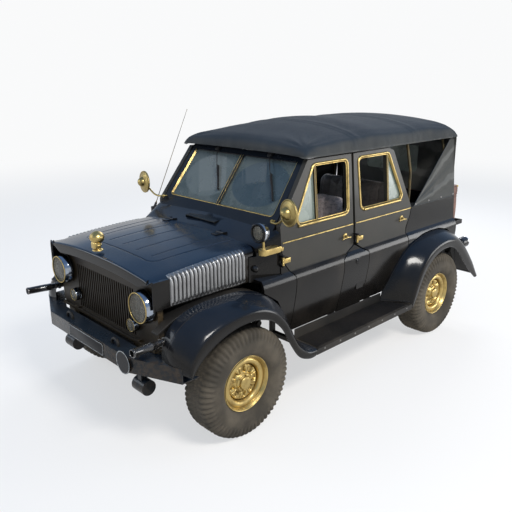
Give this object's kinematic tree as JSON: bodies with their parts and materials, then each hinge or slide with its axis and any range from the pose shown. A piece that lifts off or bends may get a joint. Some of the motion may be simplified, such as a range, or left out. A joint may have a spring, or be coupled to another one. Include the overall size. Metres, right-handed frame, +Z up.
{
  "type": "soft-top four-door army four-wheel-drive car",
  "caption": "Soft-top four-door army 4x4 car with flared wings, running boards, louvred bonnet, canvas hood and brass fittings.",
  "frame": {"origin": "on the ground below the middle of the car, midway between its front and rear reach", "axes": "+X to the car's left, -Y forwards, +Z up"},
  "size_m": [1.8768, 3.8622, 2.0352],
  "materials": {
    "body_paint": "gloss black",
    "door_paint": "satin dark grey",
    "chassis_paint": "satin black, dusty",
    "casting": "rough, oily",
    "steel": "brushed",
    "brass": "aged",
    "chrome": "polished",
    "louvre_metal": "worn satin",
    "canvas": "dark blue-grey canvas",
    "seat_leather": "pinkish beige",
    "trunk_leather": "brown",
    "tyre": "dusty",
    "glass": "clear",
    "lamp_glass": "clear",
    "wheel_rim": "black"
  },
  "bodies": {
    "root": {"frame_rails": "chassis_paint", "front_axle": "casting", "rear_axle": "casting", "leaf_springs": "chassis_paint", "drivetrain": "casting", "engine": "casting", "exhaust": "steel", "fuel_tanks": "chassis_paint", "floor_pan": "chassis_paint", "cowl": "body_paint", "grille_panel": "body_paint", "inner_wings": "chassis_paint", "front_wings": "body_paint", "rear_wings": "body_paint", "running_boards": "chassis_paint", "body_sides": "body_paint", "windscreen_frame": "body_paint", "windscreen_glass": "glass", "wipers": "chassis_paint", "canvas_roof": "canvas", "canvas_curtains": "canvas", "hood_bows": "chassis_paint", "bumpers": "chassis_paint", "front_tubes": "chassis_paint", "lamps": "chrome", "lamp_glass": "lamp_glass", "spotlight": "brass", "mirrors": "brass", "antenna": "brass", "front_seats": "seat_leather", "rear_bench": "seat_leather", "seat_frames": "chassis_paint", "steering_wheel": "wheel_rim"},
    "knuckle_left": {"knuckle_left": "casting"},
    "knuckle_right": {"knuckle_right": "casting"},
    "bonnet": {"bonnet": "body_paint", "bonnet_louvres": "louvre_metal", "bonnet_ornament": "brass"},
    "tailgate": {"tailgate": "body_paint", "luggage_shelf": "chassis_paint", "trunk": "trunk_leather"},
    "wheel_front_left": {"tyre_front_left": "tyre", "rim_front_left": "brass"},
    "door_front_left": {"door_front_left": "door_paint", "quarter_glass_front_left": "glass"},
    "wheel_front_right": {"tyre_front_right": "tyre", "rim_front_right": "brass"},
    "door_front_right": {"door_front_right": "door_paint", "quarter_glass_front_right": "glass"},
    "wheel_rear_left": {"tyre_rear_left": "tyre", "rim_rear_left": "brass"},
    "door_rear_left": {"door_rear_left": "door_paint", "quarter_glass_rear_left": "glass"},
    "wheel_rear_right": {"tyre_rear_right": "tyre", "rim_rear_right": "brass"},
    "door_rear_right": {"door_rear_right": "door_paint", "quarter_glass_rear_right": "glass"}
  },
  "joints": [
    {"name": "steer_left", "type": "hinge", "parent": "root", "child": "knuckle_left", "pos_m": [0.655, -1.19, 0.374], "axis": [0, 0, 1], "range_deg": [-27, 27]},
    {"name": "steer_right", "type": "hinge", "parent": "root", "child": "knuckle_right", "pos_m": [-0.655, -1.19, 0.374], "axis": [0, 0, 1], "range_deg": [-27, 27]},
    {"name": "spin_front_left", "type": "hinge", "parent": "knuckle_left", "child": "wheel_front_left", "pos_m": [0.79, -1.19, 0.374], "axis": [1, 0, 0], "continuous": true},
    {"name": "spin_rear_left", "type": "hinge", "parent": "root", "child": "wheel_rear_left", "pos_m": [0.79, 1.19, 0.374], "axis": [1, 0, 0], "continuous": true},
    {"name": "spin_front_right", "type": "hinge", "parent": "knuckle_right", "child": "wheel_front_right", "pos_m": [-0.79, -1.19, 0.374], "axis": [1, 0, 0], "continuous": true},
    {"name": "spin_rear_right", "type": "hinge", "parent": "root", "child": "wheel_rear_right", "pos_m": [-0.79, 1.19, 0.374], "axis": [1, 0, 0], "continuous": true},
    {"name": "door_front_left", "type": "hinge", "parent": "root", "child": "door_front_left", "pos_m": [0.757, -0.73, 1.085], "axis": [0, 0, -1], "range_deg": [0, 70]},
    {"name": "door_rear_left", "type": "hinge", "parent": "root", "child": "door_rear_left", "pos_m": [0.757, 0.106, 1.085], "axis": [0, 0, -1], "range_deg": [0, 70]},
    {"name": "door_front_right", "type": "hinge", "parent": "root", "child": "door_front_right", "pos_m": [-0.757, -0.73, 1.085], "axis": [0, 0, 1], "range_deg": [0, 70]},
    {"name": "door_rear_right", "type": "hinge", "parent": "root", "child": "door_rear_right", "pos_m": [-0.757, 0.106, 1.085], "axis": [0, 0, 1], "range_deg": [0, 70]},
    {"name": "bonnet_hinge", "type": "hinge", "parent": "root", "child": "bonnet", "pos_m": [0, -0.903, 1.24], "axis": [-1, 0, 0], "range_deg": [0, 60]},
    {"name": "tailgate_hinge", "type": "hinge", "parent": "root", "child": "tailgate", "pos_m": [0, 1.656, 0.598], "axis": [-1, 0, 0], "range_deg": [0, 90]}
  ],
  "couplings": [
    {"joint": "steer_right", "follows": "steer_left", "ratio": 1}
  ]
}
